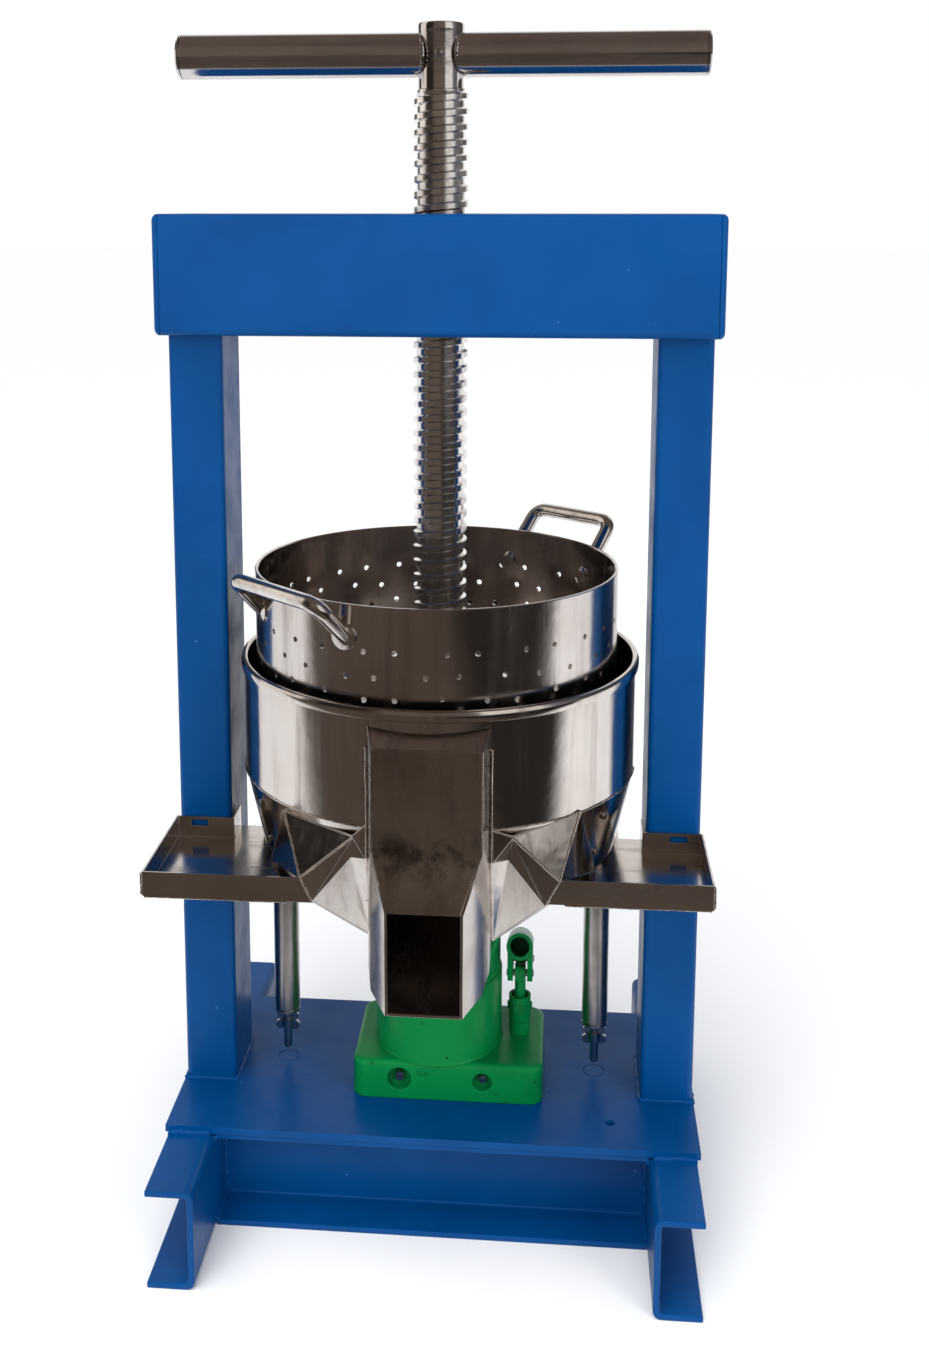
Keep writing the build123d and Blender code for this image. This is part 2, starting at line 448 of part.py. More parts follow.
# ------------------------------------------------------------------ bottle jack
def jack_parts():
    base = block(JACK_X0, JACK_X1, -JACK_Y, JACK_Y, BASE_TOP, JACK_TOP)
    base = fillet(base.edges().filter_by(Axis.Z), 12)
    base = fillet(base.faces().sort_by(Axis.Z)[-1].edges(), 5)
    base -= rod((VALVE_X, -JACK_Y - 1, VALVE_Z), (VALVE_X, -JACK_Y + 9, VALVE_Z), VALVE_BORE_R)
    base -= rod((PLUG_X, -JACK_Y - 1, VALVE_Z), (PLUG_X, -JACK_Y + 9, VALVE_Z), PLUG_BORE_R)
    base -= rod((VALVE_X, -JACK_Y, VALVE_Z), (VALVE_X, -JACK_Y + 26, VALVE_Z), 4.0 + RUN)
    base -= rod((PLUG_X, -JACK_Y, VALVE_Z), (PLUG_X, -JACK_Y + 18, VALVE_Z), 3.5)
    valve = rod((VALVE_X, -JACK_Y + 4, VALVE_Z), (VALVE_X, -JACK_Y + 25, VALVE_Z), 4.0)
    valve -= block(VALVE_X - 5, VALVE_X + 5, -JACK_Y + 3, -JACK_Y + 5.5, VALVE_Z - 0.6, VALVE_Z + 0.6)
    plug = rod((PLUG_X, -JACK_Y + 5, VALVE_Z), (PLUG_X, -JACK_Y + 18, VALVE_Z), 3.5)

    tank = disc(RESERVOIR_R, JACK_TOP, LEDGE_Z) + disc(RESERVOIR_R - 0.8, LEDGE_Z, RESERVOIR_Z1)
    tank -= disc(RAM_R + RUN, RAM_Z0 - 12, RESERVOIR_Z1 + 1)
    cap = ring(RESERVOIR_R - 4, RAM_R + RUN, RESERVOIR_Z1, RESERVOIR_Z1 + 8)
    cap = chamfer(cap.edges().group_by(Axis.Z)[-1].sort_by(SortBy.RADIUS)[-1], 3.0)
    ram = disc(RAM_R, RAM_Z0, RAM_Z1)
    saddle = disc(24, RAM_Z1, BAR_PLATFORM_Z0)
    saddle = chamfer(saddle.faces().sort_by(Axis.Z)[0].edges(), 2.0)

    foot, bend = polar(HOOP_R, -54, 193), polar(HOOP_R, -14, HOOP_Z)
    arc = revolve(Pos(HOOP_R, 0, HOOP_Z) * Rot(90, 0, 0) * Circle(HOOP_ROD_R), Axis.Z, 150)
    hoop = Rot(0, 0, -14) * arc + Pos(*bend) * Sphere(HOOP_ROD_R + 0.6) + rod(foot, bend, HOOP_ROD_R)
    hoop = hoop + Pos(*foot) * Cylinder(6.5, 12)
    hoop = hoop - disc(RESERVOIR_R - 0.8, LEDGE_Z - 20, RESERVOIR_Z1 + 20)
    hoop = hoop - disc(RESERVOIR_R, LEDGE_Z - 20, LEDGE_Z)

    pump = disc(9.0, JACK_TOP, 134, PUMP_X, PUMP_Y) + disc(8.5, 133, 136, PUMP_X, PUMP_Y)
    pump = pump + disc(9.5, 135.2, PUMP_TOP, PUMP_X, PUMP_Y)
    pump = pump + Pos(PUMP_X, PUMP_Y, 144) * extrude(RegularPolygon(10.8, 6), 6)
    pump -= disc(7.4, PUMP_TOP - 4, PUMP_TOP + 1, PUMP_X, PUMP_Y)
    pump -= disc(PLUNGER_R + RUN, 126, PUMP_TOP + 1, PUMP_X, PUMP_Y)
    plunger = disc(PLUNGER_R, 140, 170, PUMP_X, PUMP_Y)
    eye = block(PUMP_X - 4.5, PUMP_X + 4.5, PUMP_Y - 5.5, PUMP_Y + 5.5, 169, 184)
    plunger = plunger + fillet(eye.edges().filter_by(Axis.X), 3)
    pin = rod((PUMP_X - PIN_HALF, PUMP_Y, LEVER_PIN_Z), (PUMP_X + PIN_HALF, PUMP_Y, LEVER_PIN_Z), LEVER_PIN_R)
    fulcrum = rod((PUMP_X - PIN_HALF, FULCRUM_Y, LEVER_PIN_Z), (PUMP_X + PIN_HALF, FULCRUM_Y, LEVER_PIN_Z),
                  LEVER_PIN_R)
    lug = block(PUMP_X - 4.5, PUMP_X + 4.5, FULCRUM_Y - 6, FULCRUM_Y + 6, JACK_TOP, LEVER_PIN_Z + 6)
    lug = fillet(lug.edges().filter_by(Axis.X).group_by(Axis.Z)[-1], 5) - fulcrum

    tilt = math.radians(SOCKET_TILT)
    front = Vector(*SOCKET_FRONT)
    rear = front + Vector(0, math.cos(tilt), -math.sin(tilt)) * SOCKET_L
    cheek_outline = [(-4, 203), (-6, 196), (1, 172.5), (5, 170.5),
                     (40, 170.5), (42, 177), (40, 185), (26, 201)]
    cheek = side_prism(cheek_outline, PUMP_X + 6.2, PUMP_X + 10.8)
    socket = rod(front, rear, SOCKET_R) + cheek + (Pos(2 * PUMP_X, 0, 0) * mirror_x(cheek))
    closed = (rear - front) * (3.0 / SOCKET_L)
    socket -= rod(front - (rear - front) * 0.1, rear - closed, SOCKET_BORE_R)
    slot = side_prism([(PUMP_Y - 2.4, LEVER_PIN_Z - 3.5), (PUMP_Y + 2.4, LEVER_PIN_Z - 3.5),
                       (PUMP_Y + 2.4, LEVER_PIN_Z + 3.5), (PUMP_Y - 2.4, LEVER_PIN_Z + 3.5)], 50, 90)
    for y in (PUMP_Y - 2.4, PUMP_Y + 2.4):
        slot = slot + rod((50, y, LEVER_PIN_Z), (90, y, LEVER_PIN_Z), 3.5)
    socket = socket - slot
    socket -= rod((50, FULCRUM_Y, LEVER_PIN_Z), (90, FULCRUM_Y, LEVER_PIN_Z), LEVER_PIN_R + 0.06)
    return {
        "jack_base": base,
        "jack_reservoir": tank,
        "jack_top_cap": cap,
        "jack_carry_hoop": hoop,
        "jack_base_plug": plug,
        "release_valve": valve,
        "jack_ram": ram,
        "ram_saddle": saddle,
        "pump_body": pump,
        "pump_plunger": plunger - pin,
        "plunger_pin": pin,
        "fulcrum_lug": lug,
        "fulcrum_pin": fulcrum,
        "handle_socket": socket,
    }


def save(name, shape):
    solids = shape if isinstance(shape, list) else [shape]
    part = Compound(children=[Pos(0, DATUM_Y, 0) * s for piece in solids for s in piece.solids()])
    part.label = name
    export_step(part, f"parts/{name}.step")


def main():
    os.makedirs("parts", exist_ok=True)
    for group in (frame_parts, screw_parts, press_head_parts, basket_parts, collector_parts, jack_parts):
        for name, shape in group().items():
            save(name, shape)


main()
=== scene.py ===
import json
import math

import bmesh
import bpy
from mathutils import Matrix, Vector, noise


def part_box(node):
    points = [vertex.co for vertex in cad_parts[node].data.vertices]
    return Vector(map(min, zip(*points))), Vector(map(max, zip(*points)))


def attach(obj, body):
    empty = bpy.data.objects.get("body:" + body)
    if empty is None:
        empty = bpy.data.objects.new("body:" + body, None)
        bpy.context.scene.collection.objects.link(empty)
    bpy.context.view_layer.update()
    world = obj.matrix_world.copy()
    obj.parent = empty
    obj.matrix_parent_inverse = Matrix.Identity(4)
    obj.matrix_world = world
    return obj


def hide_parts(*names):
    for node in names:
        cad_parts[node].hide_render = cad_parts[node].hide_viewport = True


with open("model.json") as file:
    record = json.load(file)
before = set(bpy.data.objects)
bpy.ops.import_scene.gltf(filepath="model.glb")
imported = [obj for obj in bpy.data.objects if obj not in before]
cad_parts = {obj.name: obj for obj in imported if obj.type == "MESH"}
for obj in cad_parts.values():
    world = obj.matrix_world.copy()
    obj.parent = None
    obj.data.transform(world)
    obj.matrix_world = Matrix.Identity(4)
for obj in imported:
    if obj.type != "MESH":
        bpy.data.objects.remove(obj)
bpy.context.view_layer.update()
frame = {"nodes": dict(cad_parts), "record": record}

MM = 0.001
NODES = frame["nodes"]
BODY_OF = {node: body for body, group in frame["record"]["behaviour"]["bodies"].items() for node in group}
SLOT_OF = {part["node"]: part["material_slot"] for part in frame["record"]["subparts"]}


def middle(node):
    low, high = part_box(node)
    return (low + high) / 2


def low(node):
    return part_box(node)[0]


def high(node):
    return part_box(node)[1]


AXIS = middle("handle_neck")
AXIS_X, AXIS_Y = AXIS.x, AXIS.y


# ---------------------------------------------------------------- shader building blocks
def shader_group(name, inputs, outputs):
    """An empty node group with named float, vector or colour sockets."""
    kinds = {"value": "NodeSocketFloat", "vector": "NodeSocketVector", "colour": "NodeSocketColor"}
    group = bpy.data.node_groups.new(name, "ShaderNodeTree")
    for label, kind, start in inputs:
        socket = group.interface.new_socket(label, in_out="INPUT", socket_type=kinds[kind])
        socket.default_value = start
    for label, kind in outputs:
        group.interface.new_socket(label, in_out="OUTPUT", socket_type=kinds[kind])
    inlet = group.nodes.new("NodeGroupInput")
    outlet = group.nodes.new("NodeGroupOutput")
    return group, inlet.outputs, outlet.inputs


def put(tree, kind, **settings):
    node = tree.nodes.new(kind)
    for key, value in settings.items():
        setattr(node, key, value)
    return node


def sum_of(tree, operation, a, b):
    """A math node on two sockets or numbers."""
    node = put(tree, "ShaderNodeMath", operation=operation)
    for slot, value in zip(node.inputs, (a, b)):
        if isinstance(value, (int, float)):
            slot.default_value = value
        else:
            tree.links.new(value, slot)
    return node.outputs[0]


def noise_at(tree, place, scale, detail=3.0, rough=0.5):
    node = put(tree, "ShaderNodeTexNoise")
    tree.links.new(place, node.inputs["Vector"])
    if isinstance(scale, (int, float)):
        node.inputs["Scale"].default_value = scale
    else:
        tree.links.new(scale, node.inputs["Scale"])
    node.inputs["Detail"].default_value = detail
    node.inputs["Roughness"].default_value = rough
    return node.outputs["Fac"]


def window(tree, value, start, end, out_start=0.0, out_end=1.0):
    """A soft ramp of value from start to end."""
    node = put(tree, "ShaderNodeMapRange", interpolation_type="SMOOTHSTEP")
    tree.links.new(value, node.inputs["Value"])
    node.inputs["From Min"].default_value = start
    node.inputs["From Max"].default_value = end
    node.inputs["To Min"].default_value = out_start
    node.inputs["To Max"].default_value = out_end
    return node.outputs["Result"]


def make_tone_drift():
    """Slow wandering between two colours."""
    group, into, out = shader_group(
        "tone_drift",
        [("Colour", "colour", (1, 1, 1, 1)), ("Second", "colour", (0, 0, 0, 1)),
         ("Scale", "value", 8.0), ("Amount", "value", 0.5)],
        [("Colour", "colour")])
    place = put(group, "ShaderNodeTexCoord").outputs["Object"]
    cloud = noise_at(group, place, into["Scale"], 4.0, 0.6)
    share = sum_of(group, "MULTIPLY", window(group, cloud, 0.35, 0.7), into["Amount"])
    mix = put(group, "ShaderNodeMix", data_type="RGBA")
    group.links.new(share, mix.inputs["Factor"])
    group.links.new(into["Colour"], mix.inputs["A"])
    group.links.new(into["Second"], mix.inputs["B"])
    group.links.new(mix.outputs["Result"], out["Colour"])
    return group


def make_polish_lines():
    """Fine drawn lines, long across the stretch, and the same pattern as a height."""
    group, into, out = shader_group(
        "polish_lines",
        [("Stretch", "vector", (1, 1, 1)), ("Scale", "value", 60.0)],
        [("Mask", "value"), ("Height", "value")])
    place = put(group, "ShaderNodeTexCoord").outputs["Object"]
    squeeze = put(group, "ShaderNodeVectorMath", operation="MULTIPLY")
    group.links.new(place, squeeze.inputs[0])
    group.links.new(into["Stretch"], squeeze.inputs[1])
    lines = noise_at(group, squeeze.outputs[0], into["Scale"], 6.0, 0.7)
    group.links.new(window(group, lines, 0.4, 0.75), out["Mask"])
    group.links.new(lines, out["Height"])
    return group


def make_sheet_ripple():
    """Shallow waves of hand-worked sheet, with a finer second wave."""
    group, into, out = shader_group(
        "sheet_ripple", [("Scale", "value", 14.0), ("Fine", "value", 0.2)], [("Height", "value")])
    place = put(group, "ShaderNodeTexCoord").outputs["Object"]
    broad = noise_at(group, place, into["Scale"], 1.0, 0.4)
    finer = noise_at(group, place, sum_of(group, "MULTIPLY", into["Scale"], 5.0), 2.0, 0.5)
    both = sum_of(group, "ADD", broad, sum_of(group, "MULTIPLY", finer, into["Fine"]))
    group.links.new(both, out["Height"])
    return group


def make_paint_skin():
    """Orange peel of sprayed enamel."""
    group, into, out = shader_group("paint_skin", [("Scale", "value", 380.0)], [("Height", "value")])
    place = put(group, "ShaderNodeTexCoord").outputs["Object"]
    peel = noise_at(group, place, into["Scale"], 2.0, 0.4)
    sag = noise_at(group, place, 26.0, 2.0, 0.5)
    group.links.new(sum_of(group, "ADD", peel, sum_of(group, "MULTIPLY", sag, 3.0)), out["Height"])
    return group


def make_specks():
    """Scattered small marks: chips, spatter and dirt."""
    group, into, out = shader_group(
        "specks", [("Scale", "value", 120.0), ("Share", "value", 0.1)], [("Mask", "value")])
    place = put(group, "ShaderNodeTexCoord").outputs["Object"]
    cells = put(group, "ShaderNodeTexVoronoi")
    group.links.new(place, cells.inputs["Vector"])
    group.links.new(into["Scale"], cells.inputs["Scale"])
    dot = window(group, cells.outputs["Distance"], 0.05, 0.16, 1.0, 0.0)
    chosen = put(group, "ShaderNodeMath", operation="LESS_THAN")
    split = put(group, "ShaderNodeSeparateColor")
    group.links.new(cells.outputs["Color"], split.inputs["Color"])
    group.links.new(split.outputs["Red"], chosen.inputs[0])
    group.links.new(into["Share"], chosen.inputs[1])
    group.links.new(sum_of(group, "MULTIPLY", dot, chosen.outputs[0]), out["Mask"])
    return group


TONE_DRIFT = make_tone_drift()
POLISH_LINES = make_polish_lines()
SHEET_RIPPLE = make_sheet_ripple()
PAINT_SKIN = make_paint_skin()
SPECKS = make_specks()


def use(tree, group, **values):
    node = put(tree, "ShaderNodeGroup", node_tree=group)
    for label, value in values.items():
        node.inputs[label].default_value = value
    return node


def new_material(name):
    material = bpy.data.materials.new(name)
    material.use_nodes = True
    tree = material.node_tree
    return material, tree, tree.nodes["Principled BSDF"]


def over(tree, base, mark, share):
    """Lays the flat colour mark over a colour socket where share is 1."""
    mix = put(tree, "ShaderNodeMix", data_type="RGBA")
    tree.links.new(share, mix.inputs["Factor"])
    tree.links.new(base, mix.inputs["A"])
    mix.inputs["B"].default_value = mark
    return mix.outputs["Result"]


def bump_from(tree, bsdf, layers):
    """Stacks (height socket, distance in metres) layers into the normal."""
    previous = None
    for height, distance in layers:
        bump = put(tree, "ShaderNodeBump")
        bump.inputs["Strength"].default_value = 1.0
        bump.inputs["Distance"].default_value = distance
        tree.links.new(height, bump.inputs["Height"])
        if previous is not None:
            tree.links.new(previous, bump.inputs["Normal"])
        previous = bump.outputs["Normal"]
    tree.links.new(previous, bsdf.inputs["Normal"])


# ---------------------------------------------------------------- finishes
def enamel(name, tint, deep, chip, roughness, chips=0.06, drift=0.5):
    """Sprayed gloss paint: colour drift, chips, orange peel and dull patches."""
    material, tree, bsdf = new_material(name)
    tone = use(tree, TONE_DRIFT, Colour=tint, Second=deep, Scale=9.0, Amount=drift)
    dots = use(tree, SPECKS, Scale=95.0, Share=chips)
    colour = over(tree, tone.outputs["Colour"], chip, dots.outputs["Mask"])
    tree.links.new(colour, bsdf.inputs["Base Color"])
    place = put(tree, "ShaderNodeTexCoord").outputs["Object"]
    dull = noise_at(tree, place, 30.0, 5.0, 0.65)
    tree.links.new(window(tree, dull, 0.35, 0.75, roughness, roughness + 0.16), bsdf.inputs["Roughness"])
    bsdf.inputs["Specular IOR Level"].default_value = 0.12
    bsdf.inputs["Coat Weight"].default_value = 0.04
    bsdf.inputs["Coat Roughness"].default_value = 0.14
    skin = use(tree, PAINT_SKIN, Scale=420.0)
    bump_from(tree, bsdf, [(skin.outputs["Height"], 0.00006)])
    return material


def steel(name, tint, stain, roughness, stretch, ripple, ripple_scale, lines=0.00001, drift=0.5):
    """Bare metal: tint, stain drift, drawn lines and sheet ripple."""
    material, tree, bsdf = new_material(name)
    tone = use(tree, TONE_DRIFT, Colour=tint, Second=stain, Scale=ripple_scale, Amount=drift)
    streak = use(tree, POLISH_LINES, Stretch=stretch, Scale=60.0)
    wave = use(tree, SHEET_RIPPLE, Scale=ripple_scale, Fine=0.12)
    dark = put(tree, "ShaderNodeMix", data_type="RGBA", blend_type="MULTIPLY")
    tree.links.new(window(tree, streak.outputs["Mask"], 0.0, 1.0, 0.0, 0.45), dark.inputs["Factor"])
    tree.links.new(tone.outputs["Colour"], dark.inputs["A"])
    dark.inputs["B"].default_value = (0.42, 0.38, 0.35, 1)
    tree.links.new(dark.outputs["Result"], bsdf.inputs["Base Color"])
    bsdf.inputs["Metallic"].default_value = 1.0
    rough = window(tree, streak.outputs["Mask"], 0.0, 1.0, roughness, roughness + 0.14)
    tree.links.new(rough, bsdf.inputs["Roughness"])
    bump_from(tree, bsdf, [(wave.outputs["Height"], ripple), (streak.outputs["Height"], lines)])
    return material


FRAME_BLUE = enamel("frame_blue_enamel", (0.0001, 0.054, 0.200, 1), (0.0001, 0.035, 0.135, 1),
                    (0.03, 0.12, 0.34, 1), 0.32, 0.03)
JACK_GREEN = enamel("jack_green_enamel", (0.001, 0.185, 0.042, 1), (0.0005, 0.105, 0.026, 1),
                    (0.008, 0.035, 0.014, 1), 0.26, 0.06, 0.8)
VESSEL_SHEET = steel("vessel_polished_sheet", (0.66, 0.61, 0.57, 1), (0.48, 0.42, 0.37, 1), 0.10,
                     (1, 1, 0.05), 0.0016, 9.0)
PAN_SHEET = steel("pan_sheet", (0.62, 0.57, 0.53, 1), (0.44, 0.38, 0.33, 1), 0.17, (0.08, 1, 1), 0.0011, 12.0)
CHUTE_SHEET = steel("chute_sheet", (0.60, 0.55, 0.51, 1), (0.40, 0.35, 0.31, 1), 0.20,
                    (1, 0.2, 0.1), 0.0008, 14.0, 0.00001, 0.7)
BASKET_SHEET = steel("basket_sheet", (0.66, 0.61, 0.57, 1), (0.46, 0.40, 0.36, 1), 0.15,
                     (1, 1, 0.06), 0.0012, 13.0)
ROD_STEEL = steel("bent_rod_steel", (0.66, 0.61, 0.57, 1), (0.50, 0.45, 0.41, 1),
                  0.13, (1, 1, 1), 0.0004, 22.0)
BAR_STEEL = steel("t_bar_steel", (0.70, 0.66, 0.64, 1), (0.56, 0.52, 0.50, 1),
                  0.10, (0.04, 1, 1), 0.0003, 16.0)
SCREW_STEEL = steel("screw_steel", (0.88, 0.85, 0.82, 1), (0.66, 0.62, 0.59, 1),
                    0.17, (1, 1, 0.3), 0.00004, 30.0)
LEG_STEEL = steel("leg_tube_steel", (0.55, 0.51, 0.48, 1), (0.32, 0.29, 0.27, 1),
                  0.30, (1, 1, 0.05), 0.0009, 30.0)
PIN_STEEL = steel("pin_steel", (0.55, 0.52, 0.50, 1), (0.25, 0.22, 0.20, 1), 0.30, (1, 1, 1), 0.0003, 90.0)
SEAM_STEEL = steel("seam_bead_steel", (0.72, 0.66, 0.60, 1), (0.34, 0.25, 0.18, 1),
                   0.24, (1, 1, 1), 0.0004, 70.0)


# ---------------------------------------------------------------- making pieces
def own(piece, finish, *stands_for, body=None, slot=None):
    """Gives a piece its finish and its body, and hides the nodes it stands for; the slot argument is not
    used.
    """
    piece.data.materials.clear()
    piece.data.materials.append(finish)
    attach(piece, body or BODY_OF[stands_for[0]])
    if stands_for:
        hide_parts(*stands_for)
    return piece


def piece_from(name, bm, sharp=35.0):
    mesh = bpy.data.meshes.new(name)
    bm.to_mesh(mesh)
    bm.free()
    mesh.shade_smooth()
    mesh.set_sharp_from_angle(angle=math.radians(sharp))
    piece = bpy.data.objects.new(name, mesh)
    bpy.context.scene.collection.objects.link(piece)
    return piece


def merged_copy(node, flatten=0.6):
    """The node's own mesh as a clean bmesh: doubles merged and flat faces joined."""
    mesh = NODES[node].data.copy()
    if "custom_normal" in mesh.attributes:
        mesh.attributes.remove(mesh.attributes["custom_normal"])
    bm = bmesh.new()
    bm.from_mesh(mesh)
    bpy.data.meshes.remove(mesh)
    bmesh.ops.remove_doubles(bm, verts=bm.verts, dist=0.00002)
    if flatten:
        bmesh.ops.dissolve_limit(bm, angle_limit=math.radians(flatten), verts=bm.verts, edges=bm.edges)
    return bm


def soften(piece, width, segments=3, angle=38.0):
    bevel = piece.modifiers.new("edge", "BEVEL")
    bevel.width = width
    bevel.segments = segments
    bevel.limit_method = "ANGLE"
    bevel.angle_limit = math.radians(angle)
    bevel.harden_normals = False
    weigh = piece.modifiers.new("flats", "WEIGHTED_NORMAL")
    weigh.keep_sharp = True
    return piece


def dressed(node, finish, width=0.0007, name=None, segments=3):
    """The node's shape with rounded edges, standing for the node."""
    piece = piece_from(name or node + "_body", merged_copy(node))
    own(piece, finish, node)
    return soften(piece, width, segments)


def round_shaded(node, finish, x, slope=0.0, name=None):
    """The node's shape with true round normals on its wall about the vertical line at x."""
    piece = piece_from(name or node + "_wall", merged_copy(node, 0.0))
    mesh = piece.data
    normals = []
    for face in mesh.polygons:
        for corner in face.loop_indices:
            spot = mesh.vertices[mesh.loops[corner].vertex_index].co
            out = Vector((spot.x - x, spot.y - AXIS_Y, 0)).normalized()
            out.z = -slope
            out.normalize()
            along = out.dot(face.normal)
            normals.append(out * (1 if along > 0 else -1) if abs(along) > 0.96 else face.normal.copy())
    mesh.normals_split_custom_set(normals)
    return own(piece, finish, node)


def lathe_mesh(outline, steps, closed):
    """Outline of (radius, height) spun about Z."""
    bm = bmesh.new()
    ring = [bm.verts.new((radius, 0, height)) for radius, height in outline]
    edges = [bm.edges.new(pair) for pair in zip(ring, ring[1:])]
    if closed:
        edges.append(bm.edges.new((ring[-1], ring[0])))
    bmesh.ops.spin(bm, geom=ring + edges, cent=(0, 0, 0), axis=(0, 0, 1), angle=2 * math.pi,
                   steps=steps, use_merge=True)
    bmesh.ops.remove_doubles(bm, verts=bm.verts, dist=0.000005)
    bmesh.ops.recalc_face_normals(bm, faces=bm.faces)
    return bm


def turned(name, outline, finish, stands_for, place, steps=96, closed=False, aim=None, sharp=35.0,
           body=None, slot=None):
    """A turned piece: outline spun about an axis through place that points along aim."""
    bm = lathe_mesh(outline, steps, closed)
    turn = Vector((0, 0, 1)).rotation_difference(aim).to_matrix().to_4x4() if aim else Matrix()
    bm.transform(Matrix.Translation(place) @ turn)
    return own(piece_from(name, bm, sharp), finish, *stands_for, body=body, slot=slot)


def run_mesh(points, radii, sides=12):
    """A round run through the points, with its own radius at each."""
    curve = bpy.data.curves.new("run", "CURVE")
    curve.dimensions = "3D"
    curve.bevel_depth = 1.0
    curve.bevel_resolution = sides // 4
    curve.use_fill_caps = True
    spline = curve.splines.new("POLY")
    spline.points.add(len(points) - 1)
    for knot, spot, radius in zip(spline.points, points, radii):
        knot.co = (*spot, 1)
        knot.radius = radius
    holder = bpy.data.objects.new("run", curve)
    bpy.context.scene.collection.objects.link(holder)
    mesh = bpy.data.meshes.new_from_object(holder.evaluated_get(bpy.context.evaluated_depsgraph_get()))
    bpy.data.objects.remove(holder)
    bpy.data.curves.remove(curve)
    bm = bmesh.new()
    bm.from_mesh(mesh)
    bpy.data.meshes.remove(mesh)
    bmesh.ops.remove_doubles(bm, verts=bm.verts, dist=0.000005)
    bmesh.ops.recalc_face_normals(bm, faces=bm.faces)
    return bm


def along(points, step):
    """Evenly spaced stops on the straight runs between points."""
    stops = []
    for a, b in zip(points, points[1:]):
        count = max(2, int((b - a).length / step))
        stops += [a.lerp(b, i / count) for i in range(count)]
    return stops + [points[-1]]


def rounded_route(points, bend, steps=8):
    """The route with each corner turned into a smooth bend."""
    route = [points[0]]
    for before, corner, after in zip(points, points[1:], points[2:]):
        start = corner + (before - corner).normalized() * bend
        end = corner + (after - corner).normalized() * bend
        for i in range(steps + 1):
            t = i / steps
            route.append(start.lerp(corner, t).lerp(corner.lerp(end, t), t))
    return route + [points[-1]]


def weld(name, points, radius, finish, like, step=0.0016, lump=0.3, seed=0.0):
    """A lumpy weld bead along a route, on the body of a node."""
    stops = along([Vector(p) for p in points], step)
    radii = []
    for i, spot in enumerate(stops):
        puddle = 0.10 * math.sin(i * 1.9)
        radii.append(radius * (1.0 + puddle + lump * noise.noise(spot * 160 + Vector((seed, 0, 0)))))
        stops[i] = spot + noise.noise_vector(spot * 120) * radius * 0.22
    bm = run_mesh(stops, radii, 8)
    piece = piece_from(name, bm, 80)
    return own(piece, finish, body=BODY_OF[like], slot=SLOT_OF[like])


def bar_run(name, points, radius, bend, finish, stands_for, like=None, sides=24):
    route = rounded_route([Vector(p) for p in points], bend)
    piece = piece_from(name, run_mesh(route, [radius] * len(route), sides), 50)
    like = like or stands_for[0]
    return own(piece, finish, *stands_for, body=BODY_OF[like], slot=SLOT_OF[like])


# ---------------------------------------------------------------- welded frame
def frame_members():
    for node in ("foot_channel_right", "foot_channel_left", "cross_channel_front", "cross_channel_rear"):
        dressed(node, FRAME_BLUE, 0.0010)
    dressed("base_plate", FRAME_BLUE, 0.0012)
    dressed("post_right", FRAME_BLUE, 0.0006)
    dressed("post_left", FRAME_BLUE, 0.0006)
    dressed("beam_tube", FRAME_BLUE, 0.0008)
    dressed("beam_end_caps", FRAME_BLUE, 0.0012)
    nut_low, nut_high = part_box("screw_nut")
    bore = 22.05 * MM
    rim = (nut_high.x - nut_low.x) / 2
    turned("screw_nut_ring", [(bore, nut_low.z), (rim - 0.001, nut_low.z), (rim, nut_low.z + 0.001),
                              (rim, nut_high.z - 0.001), (rim - 0.001, nut_high.z), (bore, nut_high.z)],
           PIN_STEEL, ["screw_nut"], (AXIS_X, AXIS_Y, 0), 96, True)


def frame_welds():
    plate_top = high("base_plate").z
    plate_low = low("base_plate").z
    for side, post in ((1, "post_right"), (-1, "post_left")):
        a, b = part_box(post)
        corners = [(a.x, a.y, plate_top), (b.x, a.y, plate_top), (b.x, b.y, plate_top), (a.x, b.y, plate_top)]
        weld(post + "_foot_weld", corners + corners[:1], 0.0021, FRAME_BLUE, post, seed=side)
        under = low("beam_tube").z
        roof = [(x, y, under) for x, y, _ in corners]
        weld(post + "_head_weld", roof + roof[:1], 0.0012, FRAME_BLUE, post, lump=0.15, seed=side + 3)
    for side, foot in ((1, "foot_channel_right"), (-1, "foot_channel_left")):
        a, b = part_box(foot)
        inner, outer = (a.x, b.x) if side > 0 else (b.x, a.x)
        edge = low("base_plate").y
        weld(foot + "_plate_weld", [(inner + side * 0.004, edge, plate_low), (outer, edge, plate_low)],
             0.0030, FRAME_BLUE, foot, lump=0.55, seed=side + 7)
        back = high("base_plate").y
        weld(foot + "_back_weld", [(inner, back, plate_low), (outer, back, plate_low)],
             0.0026, FRAME_BLUE, foot, lump=0.5, seed=side + 9)
        for cross, face, bend in (("cross_channel_front", high("cross_channel_front").y, -1),
                                  ("cross_channel_rear", low("cross_channel_rear").y, 1)):
            web = face + bend * 0.005
            lip = face + bend * 0.043
            top, floor = high(cross).z - 0.005, low(cross).z + 0.005
            weld(foot + "_" + cross + "_weld",
                 [(inner, lip, top), (inner, web, top), (inner, web, floor), (inner, lip, floor)],
                 0.0022, FRAME_BLUE, foot, lump=0.5, seed=side * 2 + bend)


# ---------------------------------------------------------------- lead screw and T-bar
PITCH = 12 * MM
SCREW_R = 22 * MM
ROOT_R = 19.3 * MM
THREAD_LOW, THREAD_HIGH = 490 * MM, 922 * MM


